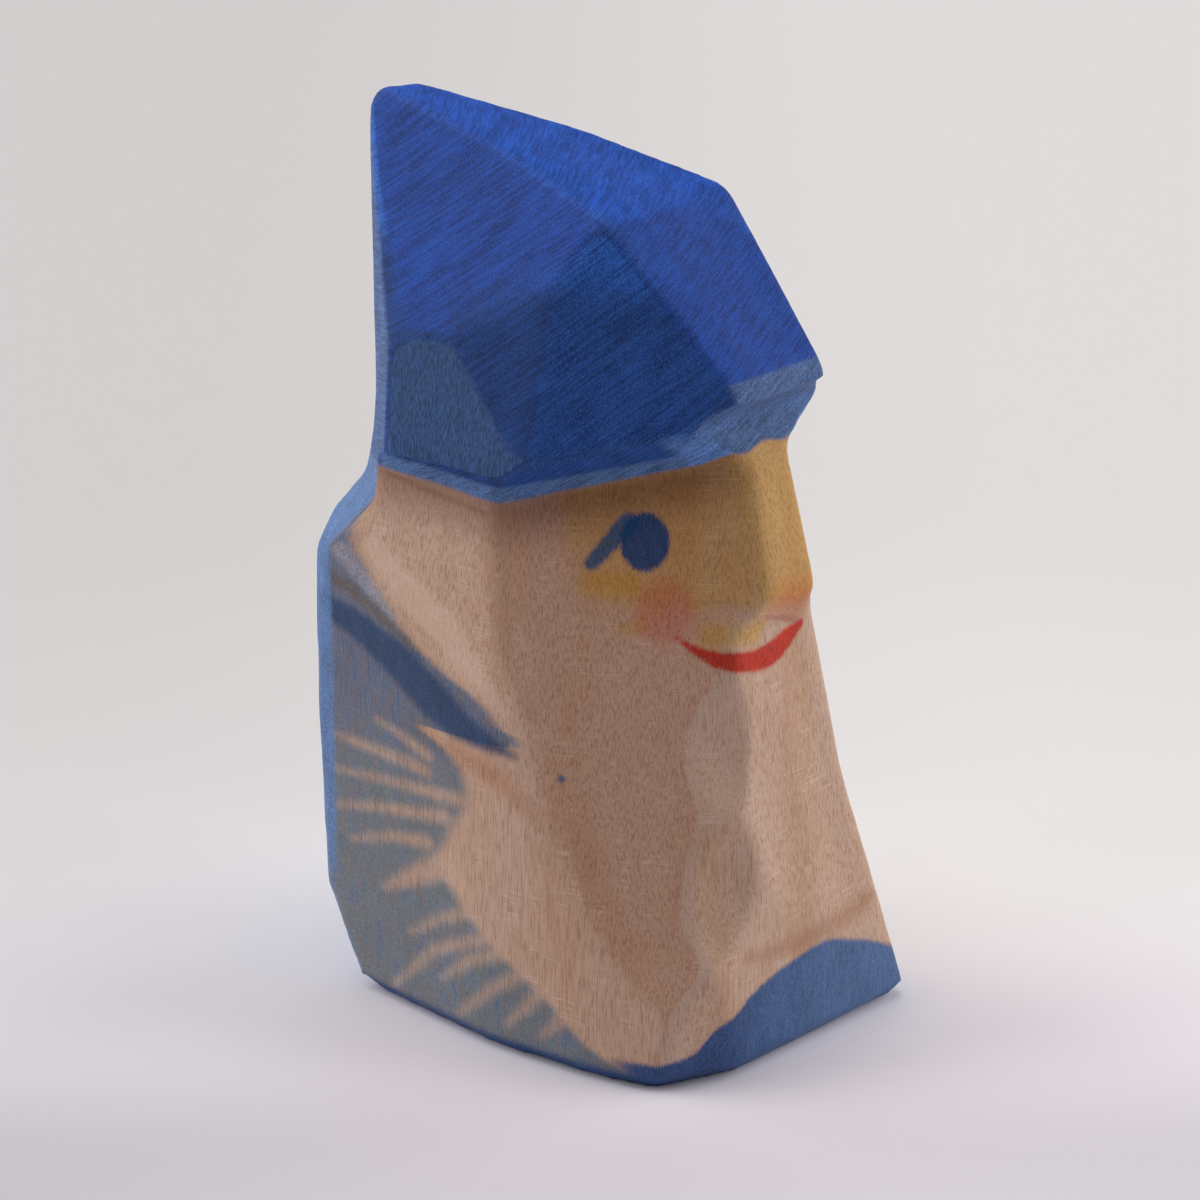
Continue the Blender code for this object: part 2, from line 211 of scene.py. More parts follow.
def edgeCurve(tree, value, edge):
    # a line drawn through points, as one number that follows another
    fromLow, fromHigh = edge["from"]
    toLow, toHigh = edge["to"]
    spread = calc(tree, "DIVIDE", calc(tree, "SUBTRACT", value, fromLow), fromHigh - fromLow,
                  clamp=True)
    node = tree.nodes.new("ShaderNodeFloatCurve")
    curve = node.mapping.curves[0]
    points = sorted(edge["points"])
    while len(curve.points) < len(points):
        curve.points.new(0.5, 0.5)
    for point, (along, height) in zip(curve.points, points):
        point.location = ((along - fromLow) / (fromHigh - fromLow),
                          (height - toLow) / (toHigh - toLow))
        point.handle_type = edge.get("bend", "AUTO_CLAMPED")
    node.mapping.update()
    tree.links.new(spread, node.inputs["Value"])
    return calc(tree, "MULTIPLY_ADD", node.outputs[0], toHigh - toLow, toLow)


# ---------- what the stain is made of

# noise patterns: features in a millimetre along each axis, detail, roughness, degrees turned
grain = {
    "fibre": ((10.5, 10.5, 0.60), 2.0, 0.6),
    "fleck": ((7.5, 7.5, 0.42), 2.0, 0.6),
    "fuzz": ((9.0, 9.0, 5.5), 2.0, 0.7),
    "band": ((0.30, 0.22, 0.030), 3.0, 0.5),
    "blotch": ((0.55, 0.55, 0.35), 3.0, 0.55),
    "sanding": ((0.30, 0.30, 7.5), 2.0, 0.6, (0.0, 0.0, -49.0)),
    "scratch": ((0.22, 0.40, 6.5), 3.0, 0.65, (0.0, -37.0, -49.0)),
}

wood = {
    "bare": stain(202, 170, 149),
    "warmBand": stain(196, 160, 133),
    "fleck": stain(140, 94, 68),
    "fuzz": stain(230, 210, 195),
    # over the bare colour: noise, where it starts, where it is full, strength, colour
    "layers": [
        ("band", 0.42, 0.68, 1.0, "warmBand"),
        ("fibre", 0.46, 0.68, 0.52, "fleck"),
        ("fleck", 0.56, 0.70, 0.34, "fleck"),
        ("fuzz", 0.54, 0.70, 0.22, "fuzz"),
    ],
    "sandingStrength": 0.34,
    "wornStrength": 0.12,
    # painted shade: under the hat's edge, on the cheek flat, in the crease above the hem, and
    # where the hair turns to the cheek
    "hollowShade": stain(200, 189, 187),
    "cheekShade": stain(252, 241, 234),
    "creaseShade": stain(232, 218, 204),
    "hairShade": stain(236, 230, 228),
    # painted light on the hair's flat behind the cheek and on the beard's scallops
    "paintedLightFlat": stain(228, 200, 180),
    "behindCheekStrength": 0.34,
    "scallopStrength": 0.20,
    "roughness": 0.52,
    "fuzzRoughness": 0.2,
    "shine": 0.12,
    "fibreHeight": 0.016,             # bump heights, in millimetres
    "fuzzHeight": 0.014,
    "scratchHeight": 0.020,
}

paint = {
    "hatBlue": stain(27, 72, 158),
    # painted shade on the hat's steep flats: deepest, at the temple, and near the apex
    "hatShadedBlue": stain(28, 66, 129),
    "hatTemple": stain(36, 79, 150),
    "hatApex": stain(44, 98, 186),
    "hatSide": stain(51, 81, 127),
    # painted light on the hat's back, and the colour of its worn edges
    "hatWornAndLit": stain(86, 112, 160),
    "hatBrim": stain(79, 108, 156),
    "hatUnder": stain(84, 117, 166),
    "hatScoop": stain(93, 136, 198),
    # thicker paint and painted light on the flats that face up
    "hatRidge": stain(33, 82, 176),
    "jacketBlue": stain(92, 117, 132),
    "jacketDeep": stain(65, 98, 133),
    # painted light on the jacket's flats that face back
    "backLitBlue": stain(108, 137, 184),
    "sleeveBlue": stain(54, 76, 112),
    "sleeveBrown": stain(112, 102, 96),
    "tuckBrown": stain(238, 216, 202),
    # painted highlight on the back's rear edge
    "rimHighlightBlue": stain(104, 136, 186),
    "hemBlue": stain(82, 112, 158),
    # painted shade on the hem towards the gnome's right
    "hemShadedBlue": stain(51, 82, 133),
    "shoulderPale": stain(166, 162, 172),
    "eyeBlue": stain(28, 70, 119),
    "lashBlue": stain(47, 85, 125),
    "yellow": stain(255, 243, 180),
    "blush": stain(255, 212, 209),
    "lipRed": stain(194, 45, 28),
    "noseRed": stain(255, 206, 178),
    "redLine": stain(228, 194, 184),
    "ragged": 0.7,                    # millimetres that the fibres shift a painted edge by
    "uneven": 3.6,                    # millimetres that the yellow's wide edges wander
    "yellowSlant": -0.30,             # how the yellow's rear edge leans, about this height
    "yellowHeight": 41.0,
    "streakStrength": 0.80,
    "soaked": (0.94, -0.26),          # the jacket's strength, and what the fibres take off it
    "deepWander": 14.0,
    "hatLean": -0.39,                 # how the hat's dark flat rises to the right
    "hatLeanStrength": 0.7,
    "hatWornStrength": 0.15,
    # how light pigment dries: a start, then noise, where it starts, where it is full, change
    "mottle": (0.74, [("fuzz", 0.34, 0.70, 0.50), ("fibre", 0.40, 0.66, -0.26),
                      ("blotch", 0.35, 0.65, 0.14)]),
    "hatMottle": (0.45, [("fuzz", 0.40, 0.72, 0.75), ("scratch", 0.36, 0.66, 0.46),
                         ("blotch", 0.35, 0.65, 0.16), ("fibre", 0.44, 0.66, -0.12)]),
    "thinMottle": (1.30, [("fibre", 0.38, 0.64, -0.72)]),
}

# where a stain or a shade starts and where it is full
# places are in millimetres; flats are picked by the way they face, from -1 to 1
# the note at a line's end says what is measured, there and in the lines below it
fades = {
    "worn": (0.05, 0.16),             # how far an edge stands out
    "sandingLine": (0.50, 0.66),      # noise
    "sandingPatch": (0.48, 0.66),
    "soaked": (0.36, 0.62),
    "deepBlotch": (0.50, 0.76),
    "hollow": (4.6, 0.2),             # below the hat's edge
    "beforeNape": (0.7, 0.4),         # facing back
    "besideNose": (2.2, 3.4),         # width
    "cheekFromHair": (-0.28, -0.42),  # facing back
    "cheekToNose": (-0.64, -0.56),
    "cheekUpright": (-0.1, 0.1),      # facing up
    "scallopFromSide": (-0.56, -0.64),  # facing back
    "scallopToFront": (-0.86, -0.78),
    "scallopTop": (28.5, 27.0),       # height
    "yellowRear": (-7.6, -3.6),       # across
    "yellowFoot": (32.2, 34.4),       # height
    "yellowForward": (0.0, -2.0),     # y
    "yellowTop": (45.0, 44.0),        # height
    "nose": (3.4, 2.4),               # width
    "side": (0.86, 0.93),             # facing aside
    "flatSide": (0.93, 0.97),
    "forward": (9.0, 7.0),            # y
    "belowHat": (41.0, 40.0),         # height
    "aboveBase": (0.005, 0.02),
    "deep": (22.0, 33.0),
    "back": (0.30, 0.42),             # facing back
    "hemFront": (-8.0, -11.0),        # y
    "hemOutOfShade": (-12.0, 6.0),          # x
    "temple": (-0.18, -0.38),         # facing back
    "apex": (54.0, 57.2),             # height
    "leaning": (59.4, 56.4),          # height, less the lean
    "leaningRear": (-14.5, -11.5),    # across
    "leaningFront": (1.0, -1.0),
    "steep": (0.46, 0.36),            # facing up
    "thinSide": (0.965, 0.98),        # facing aside
    "thinTop": (51.5, 50.0),          # height
    "hatRear": (0.35, 0.6),           # facing back
    "brimTop": (49.75, 49.45),        # height
    "brimForward": (-8.6, -9.6),      # y
    "brimFront": (0.7, 0.4),          # facing aside
    "ridge": (0.72, 0.86),            # facing up
    "overhang": (0.05, -0.2),
    "overhangTop": (47.0, 44.5),      # height
    "scoop": (-8.0, -9.5),            # y
    "hatFoot": (-1.5, -1.0),          # below the hat's edge
}

# painted edges, drawn in millimetres, with how far they blur and how ragged they are
paintedEdges = {
    # height, and how far across the jacket's wash ends there
    "jacket": {
        "from": (0.0, 41.0), "to": (-23.0, 3.0), "soft": (0.65, 1.7),
        "points": [
            (0.0, 2.0), (1.28, -1.24), (2.31, -3.33), (3.38, -4.73), (5.08, -6.48),
            (6.4, -8.24), (7.96, -10.36), (9.33, -11.79), (10.76, -12.86), (12.56, -13.94),
            (15.6, -13.17), (18.7, -12.06), (21.2, -13.1), (22.0, -14.4), (22.6, -15.3),
            (23.1, -9.0), (23.5, -8.5), (24.3, -9.6), (25.65, -10.95), (27.2, -13.78),
            (28.7, -16.0), (31.1, -18.09), (32.6, -19.1), (34.7, -20.18), (36.8, -19.47),
            (41.0, -18.6),
        ],
    },
    # how far across, and the height of the hat's lower edge there
    "hat": {
        "from": (-22.0, 11.0), "to": (36.0, 48.0), "bend": "VECTOR", "soft": (0.2, 0.5),
        "points": [
            (-22.0, 40.3), (-18.6, 40.28), (-14.4, 40.21), (-9.7, 39.9), (-2.64, 41.61),
            (4.17, 43.29), (6.2, 44.2), (7.3, 44.0), (8.4, 44.4), (9.2, 44.3), (11.0, 44.3),
        ],
    },
    # x, and the height of the hem's dome there
    "hem": {
        "from": (-14.2, 14.2), "to": (0.0, 10.0), "soft": (0.25, 0.9),
        "points": [
            (-14.2, 2.2), (-12.9, 2.0), (-11.6, 2.2), (-10.7, 2.3), (-9.6, 2.8), (-8.4, 4.2),
            (-6.7, 5.0), (-5.2, 5.9), (-3.4, 6.5), (-0.7, 7.05), (2.3, 7.37), (5.9, 6.5),
            (11.0, 4.3), (14.2, 2.4),
        ],
    },
    "foot": {"height": 1.1, "soft": (0.5, 0.8)},
}

eye = {
    "centre": (6.98, -6.64, 37.81),
    "stretch": (1.0, 1.0, 0.84),
    "radius": 1.72,
    "soft": (0.2, 0.9),
}


def streak(start, bend, end, breadth):
    # a brush mark that widens from a thin start
    return [(start, breadth * 0.2), (bend, breadth * 0.75), (end, breadth * 1.25)]


# brush marks: where they lie, how far they blur, how ragged they are, and paths of (place, radius)
# "front" marks are (x, y, z) places
# "bothSides" marks are such places on the gnome's left, mirrored for its right
# "side" marks are (across, height) places, alike on both sides
brushMarks = {
    # painted shade in the crease above the hem
    "crease": ("front", 0.9, 0.8, [
        [((-5.8, -15.06, 8.75), 0.3), ((-0.9, -15.0, 8.2), 0.5),
         ((5.1, -14.9, 8.3), 0.6), ((8.7, -14.5, 8.6), 0.5)],
    ]),
    # painted shade where the hair turns to the cheek
    "hairTurn": ("side", 0.6, 0.6, [
        [((-9.4, 39.5), 0.3), ((-9.5, 34.7), 0.9), ((-9.2, 30.5), 0.7), ((-7.6, 25.5), 0.4)],
    ]),
    "hairLine": ("side", 0.25, 0.5, [
        [((-18.2, 40.0), 0.15), ((-14.4, 39.45), 0.2), ((-10.4, 38.95), 0.12)],
    ]),
    "lip": ("front", 0.6, 1.0, [[((-5.6, -11.4, 31.7), 0.9), ((-2.6, -13.0, 31.6), 0.9)]]),
    "patch": ("bothSides", 0.6, 1.0, [[((9.4, -3.8, 34.9), 0.7), ((8.0, -6.2, 34.9), 0.8)]]),
    "lowPatch": ("bothSides", 0.4, 1.0, [[((8.9, -6.0, 31.9), 0.35), ((8.1, -7.2, 32.1), 0.6)]]),
    "blush": ("bothSides", 0.8, 0.8, [[((6.95, -8.5, 33.4), 2.0), ((7.0, -8.45, 33.0), 2.0)]]),
    "noseTip": ("front", 1.5, 1.0, [[((-0.6, -14.0, 33.6), 1.1), ((1.8, -13.8, 33.0), 1.4)]]),
    "underNose": ("front", 0.25, 0.3, [
        [((-2.0, -13.3, 32.5), 0.12), ((0.0, -12.95, 31.97), 0.2), ((3.1, -12.2, 30.7), 0.25)],
    ]),
    "mouth": ("front", 0.2, 0.7, [
        [((-6.9, -9.4, 31.5), 0.10), ((-6.55, -10.2, 31.0), 0.22), ((-6.15, -11.0, 30.5), 0.36),
         ((-5.6, -12.05, 30.12), 0.56), ((-4.8, -13.0, 29.92), 0.70),
         ((-2.8, -12.95, 29.5), 0.74), ((-1.1, -12.8, 29.4), 0.84), ((0.3, -12.6, 29.62), 0.84),
         ((1.6, -12.4, 30.05), 0.70), ((3.0, -12.2, 30.5), 0.40)],
    ]),
    "lash": ("bothSides", 0.22, 0.8, [[((9.2, -3.7, 36.2), 0.50), ((7.4, -5.5, 39.0), 0.74)]]),
    "dot": ("bothSides", 0.15, 0.3, [
        [((12.81, -3.99, 21.6), 0.22), ((12.75, -4.05, 21.45), 0.3)],
    ]),
    "tuck": ("side", 1.2, 1.2, [
        [((-15.3, 22.3), 0.2), ((-12.4, 21.7), 0.5), ((-9.4, 20.6), 0.7), ((-7.6, 18.8), 0.3)],
    ]),
    # painted highlight along the back's rounded rear edge
    "rim": ("side", 0.2, 0.3, [
        [((-22.8, 34.0), 1.0), ((-22.7, 26.2), 1.0), ((-22.3, 15.0), 0.6), ((-21.9, 7.0), 0.1)],
    ]),
    # painted light on the hair's flat behind the cheek, along its lower edge
    "hairPaintedLight": ("side", 0.45, 0.5, [
        [((-18.5, 34.4), 0.7), ((-16.4, 32.3), 1.2), ((-13.9, 30.6), 1.3), ((-11.7, 28.2), 1.0),
         ((-9.4, 25.4), 0.3)],
    ]),
    "pale": ("side", 0.4, 0.6, [
        [((-20.9, 33.4), 0.7), ((-18.9, 31.6), 0.55), ((-17.1, 29.8), 0.2)],
    ]),
    "brown": ("side", 0.35, 0.8, [
        [((-22.5, 31.4), 0.5), ((-20.3, 30.9), 0.5), ((-17.2, 29.1), 0.35),
         ((-15.5, 28.1), 0.15)],
    ]),
    "sleeve": ("side", 0.45, 1.0, [
        [((-22.5, 29.0), 0.9), ((-20.2, 28.5), 1.1), ((-17.1, 27.0), 1.4), ((-14.1, 24.8), 1.5),
         ((-12.6, 23.9), 1.2), ((-10.7, 23.2), 0.7), ((-8.6, 22.6), 0.2)],
    ]),
    # bare streaks left in the jacket's wash
    "streaks": ("side", 0.55, 0.9, [
        streak((-18.4, 21.7), (-16.7, 21.3), (-14.8, 20.6), 0.30),
        streak((-21.9, 19.1), (-20.2, 19.3), (-15.0, 19.4), 0.34),
        streak((-21.7, 16.5), (-17.5, 17.4), (-12.6, 18.2), 0.36),
        streak((-21.8, 13.7), (-18.3, 15.0), (-13.6, 16.4), 0.36),
        streak((-20.4, 11.6), (-17.6, 13.1), (-15.0, 13.8), 0.38),
        streak((-18.0, 8.9), (-16.2, 10.5), (-13.0, 13.2), 0.75),
        streak((-16.1, 6.3), (-14.0, 8.3), (-12.0, 9.8), 0.30),
        streak((-17.8, 0.9), (-14.5, 5.7), (-9.8, 9.0), 0.34),
        streak((-13.9, 3.8), (-11.8, 6.2), (-8.8, 8.2), 0.42),
        streak((-12.6, 1.7), (-10.4, 4.5), (-7.8, 6.8), 0.34),
        streak((-9.3, 2.2), (-7.9, 3.9), (-6.8, 5.6), 0.34),
        streak((-6.8, 2.2), (-5.9, 3.2), (-5.1, 4.3), 0.32),
    ]),
}


# ---------- the stained maple

def stainedMaple():
    material = bpy.data.materials.new("stainedMaple")
    material.use_nodes = True
    tree = material.node_tree
    objectPlace = tree.nodes.new("ShaderNodeTexCoord").outputs["Object"]
    place = vector(tree, "SCALE", objectPlace, scale=perMetre)
    x, y, z, width, across = photoPlaces(tree, place)
    normal = tree.nodes.new("ShaderNodeNewGeometry").outputs["Normal"]
    facingLeft, facingBack, facingUp = split(tree, normal)
    facingAside = calc(tree, "ABSOLUTE", facingLeft)
    noise = {name: grainNoise(tree, *settings) for name, settings in grain.items()}

    def fade(value, name):
        return ramp(tree, value, *fades[name])

    def overlap(*amounts):
        # only where all of these are
        result = amounts[0]
        for amount in amounts[1:]:
            result = calc(tree, "MULTIPLY", result, amount)
        return result

    def scaled(amount, strength):
        return amount if strength == 1.0 else overlap(amount, strength)

    def most(first, second):
        return calc(tree, "MAXIMUM", first, second)

    def less(first, second):
        return calc(tree, "SUBTRACT", first, second)

    def stored(name):
        # a number that the carving stored on the surface
        node = tree.nodes.new("ShaderNodeAttribute")
        node.attribute_name = name
        return node.outputs["Fac"]

    def mottled(start, layers):
        for name, low, high, change in layers:
            start = calc(tree, "MULTIPLY_ADD", ramp(tree, noise[name], low, high), change, start)
        return start

    def swing(value, size):
        # noise as a shift of up to half this size either way
        return calc(tree, "MULTIPLY_ADD", value, size, -size / 2.0)

    # stain runs along the fibres, so every painted edge is shifted by them
    ragged = calc(tree, "ADD", swing(noise["fleck"], paint["ragged"]),
                  swing(noise["fibre"], paint["ragged"]))
    wander = swing(noise["blotch"], paint["uneven"])

    def within(outside, blur, rag):
        # 1 inside an edge, 0 outside, with a fibrous change between them
        return ramp(tree, calc(tree, "MULTIPLY_ADD", ragged, rag, outside), blur, -blur)

    def mark(name):
        layout, *soft, paths = brushMarks[name]
        return within(stored(name), *soft)

    # grain: broad warm bands, fibres and flecks up the figure, and fuzz
    colour = wood["bare"]
    for name, low, high, strength, tint in wood["layers"]:
        amount = scaled(ramp(tree, noise[name], low, high), strength)
        colour = mixColour(tree, amount, colour, wood[tint])
    # the lines that sanding leaves across, and the fuzz that it raises on the edges
    lines = overlap(fade(noise["sanding"], "sandingLine"), fade(noise["blotch"], "sandingPatch"))
    colour = mixColour(tree, overlap(lines, wood["sandingStrength"]), colour, wood["fuzz"])
    worn = fade(stored("edgeWear"), "worn")
    colour = mixColour(tree, overlap(worn, wood["wornStrength"]), colour, wood["fuzz"])

    # pigment settles unevenly; on the hat also in scratches that rise to the front
    mottle = mottled(*paint["mottle"])
    hatMottle = mottled(*paint["hatMottle"])

    def wash(amount, tint, strength=1.0):
        # a see-through tint over the wood
        nonlocal colour
        colour = mixColour(tree, scaled(amount, strength), colour, tint, "MULTIPLY")

    def cover(amount, pigment, strength=1.0, lightness=mottle):
        # a stain strong enough to hide the wood's own colour
        nonlocal colour
        top = dimmed(tree, pigment, lightness)
        colour = mixColour(tree, scaled(amount, strength), colour, top)

    # painted shade in the hollow that the knife left under the hat, on the cheek flat, in the
    # crease above the hem, and where the hair turns to the cheek
    drop = less(edgeCurve(tree, across, paintedEdges["hat"]), z)
    beside = overlap(fade(facingBack, "beforeNape"), fade(width, "besideNose"))
    wash(overlap(fade(drop, "hollow"), beside), wood["hollowShade"])
    # painted shade on the cheek flat, picked by the way it faces
    onCheek = overlap(fade(facingBack, "cheekFromHair"), fade(facingBack, "cheekToNose"),
                      fade(facingUp, "cheekUpright"))
    wash(onCheek, wood["cheekShade"])
    wash(mark("crease"), wood["creaseShade"])
    wash(mark("hairTurn"), wood["hairShade"])

    # painted light: paler flats behind the cheek and along the beard's scallops
    behindCheek = overlap(mark("hairPaintedLight"), wood["behindCheekStrength"])
    colour = mixColour(tree, behindCheek, colour, wood["paintedLightFlat"])
    onScallop = overlap(fade(facingBack, "scallopFromSide"), fade(facingBack, "scallopToFront"),
                        fade(z, "scallopTop"))
    onScallop = overlap(onScallop, wood["scallopStrength"])
    colour = mixColour(tree, onScallop, colour, wood["paintedLightFlat"])

    # yellow wash on the brow, the nose and round the eye
    slanted = calc(tree, "MULTIPLY_ADD", less(paint["yellowHeight"], z), paint["yellowSlant"],
                   across)
    fromSide = fade(calc(tree, "ADD", slanted, wander), "yellowRear")
    aboveLip = fade(calc(tree, "ADD", z, wander), "yellowFoot")
    forward = overlap(fade(y, "yellowForward"), fade(z, "yellowTop"))
    wash(overlap(fromSide, aboveLip, forward), paint["yellow"], strength=0.8)
    wash(overlap(fade(width, "nose"), overlap(aboveLip, forward)), paint["yellow"], strength=0.35)
    wash(mark("lip"), paint["yellow"])
    wash(mark("patch"), paint["yellow"], strength=0.8)
    wash(mark("lowPatch"), paint["yellow"], strength=0.7)

    # blush, nose tip and mouth
    wash(mark("blush"), paint["blush"], strength=0.9)
    wash(mark("noseTip"), paint["noseRed"], strength=0.9)
    wash(mark("underNose"), paint["lipRed"], strength=0.45)
    cover(mark("mouth"), paint["lipRed"], strength=0.94)

    # lash and eye
    fromEye = vector(tree, "SUBTRACT", join(tree, width, y, z), eye["centre"])
    outsideEye = vector(tree, "LENGTH", vector(tree, "MULTIPLY", fromEye, eye["stretch"]))
    cover(mark("lash"), paint["lashBlue"], strength=0.9)
    cover(within(less(outsideEye, eye["radius"]), *eye["soft"]), paint["eyeBlue"], strength=0.95)

    # jacket: a thin wash behind the painted side edge, and over the whole back
    onSide = fade(facingAside, "side")
    notBack = most(onSide, fade(y, "forward"))
    jacketEdge = paintedEdges["jacket"]
    behind = within(less(across, edgeCurve(tree, z, jacketEdge)), *jacketEdge["soft"])
    behind = most(behind, less(1.0, notBack))
    belowHat = fade(z, "belowHat")
    aboveBase = fade(z, "aboveBase")
    streaks = overlap(overlap(mark("streaks"), onSide), paint["streakStrength"])
    jacket = overlap(behind, less(1.0, streaks), overlap(belowHat, aboveBase))
    fullStrength, lostToFibres = paint["soaked"]
    soaked = calc(tree, "MULTIPLY_ADD", fade(noise["fibre"], "soaked"), lostToFibres, fullStrength)
    deep = fade(calc(tree, "MULTIPLY_ADD", noise["blotch"], paint["deepWander"], z), "deep")
    deep = most(deep, fade(noise["blotch"], "deepBlotch"))
    jacketTint = mixColour(tree, deep, paint["jacketBlue"], paint["jacketDeep"])
    # painted light: a lighter blue where the jacket faces back
    onBack = fade(facingBack, "back")
    jacketTint = mixColour(tree, onBack, jacketTint, paint["backLitBlue"])
    cover(overlap(jacket, most(soaked, onBack)), jacketTint)

    # sleeve and shoulder, a painted highlight along the blue rim of the back, and small marks
    flatSide = fade(facingAside, "flatSide")
    wash(mark("tuck"), paint["tuckBrown"])
    cover(overlap(mark("pale"), flatSide), paint["shoulderPale"], strength=0.7)
    cover(overlap(mark("brown"), flatSide), paint["sleeveBrown"], strength=0.8)
    cover(overlap(mark("sleeve"), flatSide), paint["sleeveBlue"], strength=0.9)
    cover(overlap(mark("rim"), belowHat), paint["rimHighlightBlue"], strength=0.85)
    cover(mark("dot"), paint["jacketDeep"], strength=0.8)
    wash(mark("hairLine"), paint["redLine"], strength=0.7)

    # hem: a blue dome on the front, and a band round the foot
    hemEdge = paintedEdges["hem"]
    dome = within(less(z, edgeCurve(tree, x, hemEdge)), *hemEdge["soft"])
    dome = overlap(dome, fade(y, "hemFront"))
    footEdge = paintedEdges["foot"]
    footBand = within(less(z, footEdge["height"]), *footEdge["soft"])
    # painted shade: the hem's blue darker towards the gnome's right, where the toe's corner faces
    # down
    hemTint = mixColour(tree, fade(x, "hemOutOfShade"), paint["hemShadedBlue"], paint["hemBlue"])
    cover(overlap(most(dome, footBand), aboveBase), hemTint, strength=0.97)

    # hat: painted shade, a deeper blue on the steep flats, and on the strong one towards the flat
    # below it
    lower = mixColour(tree, fade(facingBack, "temple"), paint["hatShadedBlue"], paint["hatTemple"])
    lower = mixColour(tree, fade(z, "apex"), lower, paint["hatApex"])
    leaning = calc(tree, "MULTIPLY_ADD", across, paint["hatLean"], z)
    leaning = overlap(fade(leaning, "leaning"), fade(across, "leaningRear"),
                      fade(across, "leaningFront"), paint["hatLeanStrength"])
    lowered = most(fade(facingUp, "steep"), leaning)
    hatTint = mixColour(tree, lowered, paint["hatBlue"], lower)
    # other blues on the rear side flat, the nape, the brim and the ridge; on the nape painted
    # light, on the ridge thicker paint and painted light
    thinSide = overlap(fade(facingAside, "thinSide"), fade(z, "thinTop"))
    hatTint = mixColour(tree, thinSide, hatTint, paint["hatSide"])
    hatTint = mixColour(tree, fade(facingBack, "hatRear"), hatTint, paint["hatWornAndLit"])
    onBrim = overlap(fade(z, "brimTop"), fade(y, "brimForward"), fade(facingAside, "brimFront"))
    hatTint = mixColour(tree, onBrim, hatTint, paint["hatBrim"])
    hatTint = mixColour(tree, fade(facingUp, "ridge"), hatTint, paint["hatRidge"])
    # and under the hat's edge, palest in front
    front = fade(y, "scoop")
    under = overlap(fade(facingUp, "overhang"), fade(z, "overhangTop"),
                    most(fade(drop, "hatFoot"), front))
    underTint = mixColour(tree, front, paint["hatUnder"], paint["hatScoop"])
    hatTint = mixColour(tree, under, hatTint, underTint)
    # worn edges, paler where the paint has worn thin
    hatTint = mixColour(tree, overlap(worn, paint["hatWornStrength"]), hatTint, paint["hatWornAndLit"])
    thinMottle = mottled(*paint["thinMottle"])
    hatMottle = calc(tree, "MULTIPLY_ADD", less(thinMottle, hatMottle), thinSide, hatMottle)
    hat = within(drop, *paintedEdges["hat"]["soft"])
    cover(hat, hatTint, strength=0.98, lightness=hatMottle)

    shader = tree.nodes["Principled BSDF"]
    tree.links.new(colour, shader.inputs["Base Color"])
    rough = calc(tree, "MULTIPLY_ADD", noise["fuzz"], wood["fuzzRoughness"], wood["roughness"])
    tree.links.new(rough, shader.inputs["Roughness"])
    shader.inputs["Specular IOR Level"].default_value = wood["shine"]
    height = overlap(noise["fibre"], wood["fibreHeight"])
    height = calc(tree, "MULTIPLY_ADD", noise["fuzz"], wood["fuzzHeight"], height)
    height = calc(tree, "MULTIPLY_ADD", overlap(noise["scratch"], hat), wood["scratchHeight"],
                  height)
    bump = tree.nodes.new("ShaderNodeBump")
    bump.inputs["Strength"].default_value = 1.0
    bump.inputs["Distance"].default_value = millimetre
    tree.links.new(height, bump.inputs["Height"])
    tree.links.new(bump.outputs[0], shader.inputs["Normal"])
    return material


# ---------- brush marks as distances: how far each place is outside a tapered stroke

def brushStrokeGroup():
    group = bpy.data.node_groups.new("brushStroke", "GeometryNodeTree")
    for name, kind in (("Place", "NodeSocketVector"), ("Start", "NodeSocketVector"),
                       ("End", "NodeSocketVector"), ("Start Radius", "NodeSocketFloat"),
                       ("End Radius", "NodeSocketFloat")):
        group.interface.new_socket(name, in_out="INPUT", socket_type=kind)
    group.interface.new_socket("Outside", in_out="OUTPUT", socket_type="NodeSocketFloat")
    given = group.nodes.new("NodeGroupInput").outputs
    result = group.nodes.new("NodeGroupOutput")
    fromStart = vector(group, "SUBTRACT", given["Place"], given["Start"])
    whole = vector(group, "SUBTRACT", given["End"], given["Start"])
    along = calc(group, "DIVIDE", vector(group, "DOT_PRODUCT", fromStart, whole),
                 vector(group, "DOT_PRODUCT", whole, whole), clamp=True)
    nearest = vector(group, "SCALE", whole, scale=along)
    away = vector(group, "LENGTH", vector(group, "SUBTRACT", fromStart, nearest))
    taper = calc(group, "SUBTRACT", given["End Radius"], given["Start Radius"])
    radius = calc(group, "MULTIPLY_ADD", taper, along, given["Start Radius"])
    group.links.new(calc(group, "SUBTRACT", away, radius), result.inputs["Outside"])
    return group


def outsideOf(tree, group, place, paths):
    closest = None
    for path in paths:
        for (start, startRadius), (end, endRadius) in zip(path, path[1:]):
            node = tree.nodes.new("GeometryNodeGroup")
            node.node_tree = group
            tree.links.new(place, node.inputs["Place"])
            node.inputs["Start"].default_value = start if len(start) == 3 else (*start, 0.0)
            node.inputs["End"].default_value = end if len(end) == 3 else (*end, 0.0)
            node.inputs["Start Radius"].default_value = startRadius
            node.inputs["End Radius"].default_value = endRadius
            outside = node.outputs["Outside"]
            closest = outside if closest is None else calc(tree, "MINIMUM", closest, outside)
    return closest


# ---------- the figure: the CAD block with its edges rounded and its flats made uneven

